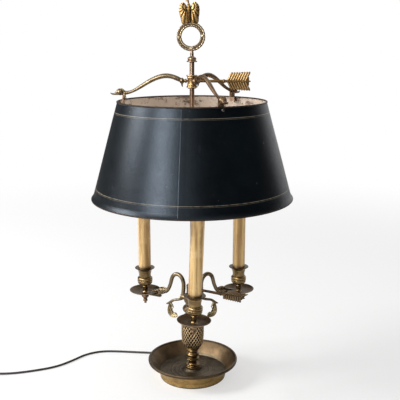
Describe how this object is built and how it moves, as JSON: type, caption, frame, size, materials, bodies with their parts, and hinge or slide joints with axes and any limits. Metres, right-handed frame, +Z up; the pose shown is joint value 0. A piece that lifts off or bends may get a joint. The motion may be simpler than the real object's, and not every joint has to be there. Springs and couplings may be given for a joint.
{
  "type": "bouillotte lamp",
  "caption": "Table lamp with a dish base, upright rod, sliding candle arms, sliding metal shade on swan arms, arrow keys and a corded switch.",
  "frame": {"origin": "centre of the underside, on the surface the lamp stands on, on the axis of the rod", "axes": "+Z up along the rod, +X to the right seen from the front, +Y away from the viewer"},
  "size_m": [0.7527, 0.382, 0.7311],
  "materials": {
    "aged_bronze": "dark patinated cast bronze",
    "gilt_brass": "worn gilt brass",
    "rod_brass": "aged drawn brass",
    "toleware": "blue-black japanned sheet, cream inside",
    "rim_wire": "brown oxidised wire",
    "candle_card": "amber antiqued tube",
    "bulb_glass": "frosted glass",
    "socket": "moulded thermoset",
    "steel": "zinc plated",
    "felt": "green felt",
    "cord": "dark brown sheath",
    "switch_brown": "dark brown moulding"
  },
  "bodies": {
    "base": {"base_dish": "aged_bronze", "base_felt": "felt", "base_nut": "steel", "base_washer": "steel", "cord_bushing": "switch_brown", "foot_collar": "gilt_brass", "column_knops": "gilt_brass", "knurled_vase": "aged_bronze", "vase_cap": "aged_bronze", "lamp_pipe": "steel", "upright_rod": "rod_brass", "supply_wires": "cord", "top_cap": "gilt_brass", "finial_wreath": "gilt_brass", "finial_eagle": "gilt_brass", "cord_inlet": "cord", "cord_lead": "cord", "cord_tail": "cord", "cord_coil": "cord", "switch_base": "switch_brown", "switch_cover": "switch_brown", "plug_body": "switch_brown", "plug_blades": "rod_brass"},
    "shade_bush": {"shade_hub_sleeve": "rod_brass"},
    "shade_carriage": {"shade_hub": "gilt_brass", "bracket_rivets": "gilt_brass", "shade_screws": "steel", "shade_shell": "toleware", "shade_top_wire": "rim_wire", "shade_bottom_wire": "rim_wire", "shade_arm_left": "gilt_brass", "shade_arm_back": "gilt_brass", "shade_arm_front": "gilt_brass", "shade_bracket_left": "gilt_brass", "shade_bracket_back": "gilt_brass", "shade_bracket_front": "gilt_brass"},
    "shade_arrow": {"shade_key": "gilt_brass"},
    "candle_bush": {"candle_hub_sleeve": "rod_brass"},
    "candle_carriage": {"candle_hub": "aged_bronze", "pan_finials": "aged_bronze", "pan_nipples": "steel", "sockets": "socket", "candle_arm_left": "aged_bronze", "candle_arm_right": "aged_bronze", "candle_arm_front": "aged_bronze", "drip_pan_left": "aged_bronze", "drip_pan_right": "aged_bronze", "drip_pan_front": "aged_bronze", "candle_cup_left": "aged_bronze", "candle_cup_right": "aged_bronze", "candle_cup_front": "aged_bronze", "candle_sleeve_left": "candle_card", "candle_sleeve_right": "candle_card", "candle_sleeve_front": "candle_card", "bulb_left": "bulb_glass", "bulb_right": "bulb_glass", "bulb_front": "bulb_glass"},
    "candle_arrow": {"candle_key": "aged_bronze"},
    "rocker": {"switch_rocker": "switch_brown"}
  },
  "joints": [
    {"name": "shade_slide", "type": "slide", "parent": "base", "child": "shade_bush", "axis": [0, 0, 1], "range_m": [-0.025, 0.022]},
    {"name": "shade_swivel", "type": "hinge", "parent": "shade_bush", "child": "shade_carriage", "pos_m": [0, 0, 0.585], "axis": [0, 0, 1], "continuous": true},
    {"name": "shade_key_turn", "type": "hinge", "parent": "shade_carriage", "child": "shade_arrow", "pos_m": [0, 0, 0.585], "axis": [0.9962, -0.0872, 0], "continuous": true},
    {"name": "candle_slide", "type": "slide", "parent": "base", "child": "candle_bush", "axis": [0, 0, 1], "range_m": [0, 0.015]},
    {"name": "candle_swivel", "type": "hinge", "parent": "candle_bush", "child": "candle_carriage", "pos_m": [0, 0, 0.161], "axis": [0, 0, 1], "range_deg": [-90, 90]},
    {"name": "candle_key_turn", "type": "hinge", "parent": "candle_carriage", "child": "candle_arrow", "pos_m": [0, 0, 0.182], "axis": [0.866, -0.5, 0], "continuous": true},
    {"name": "switch_rock", "type": "hinge", "parent": "base", "child": "rocker", "pos_m": [-0.455, -0.002, 0.0135], "axis": [0, 1, 0], "range_deg": [0, 16]}
  ]
}
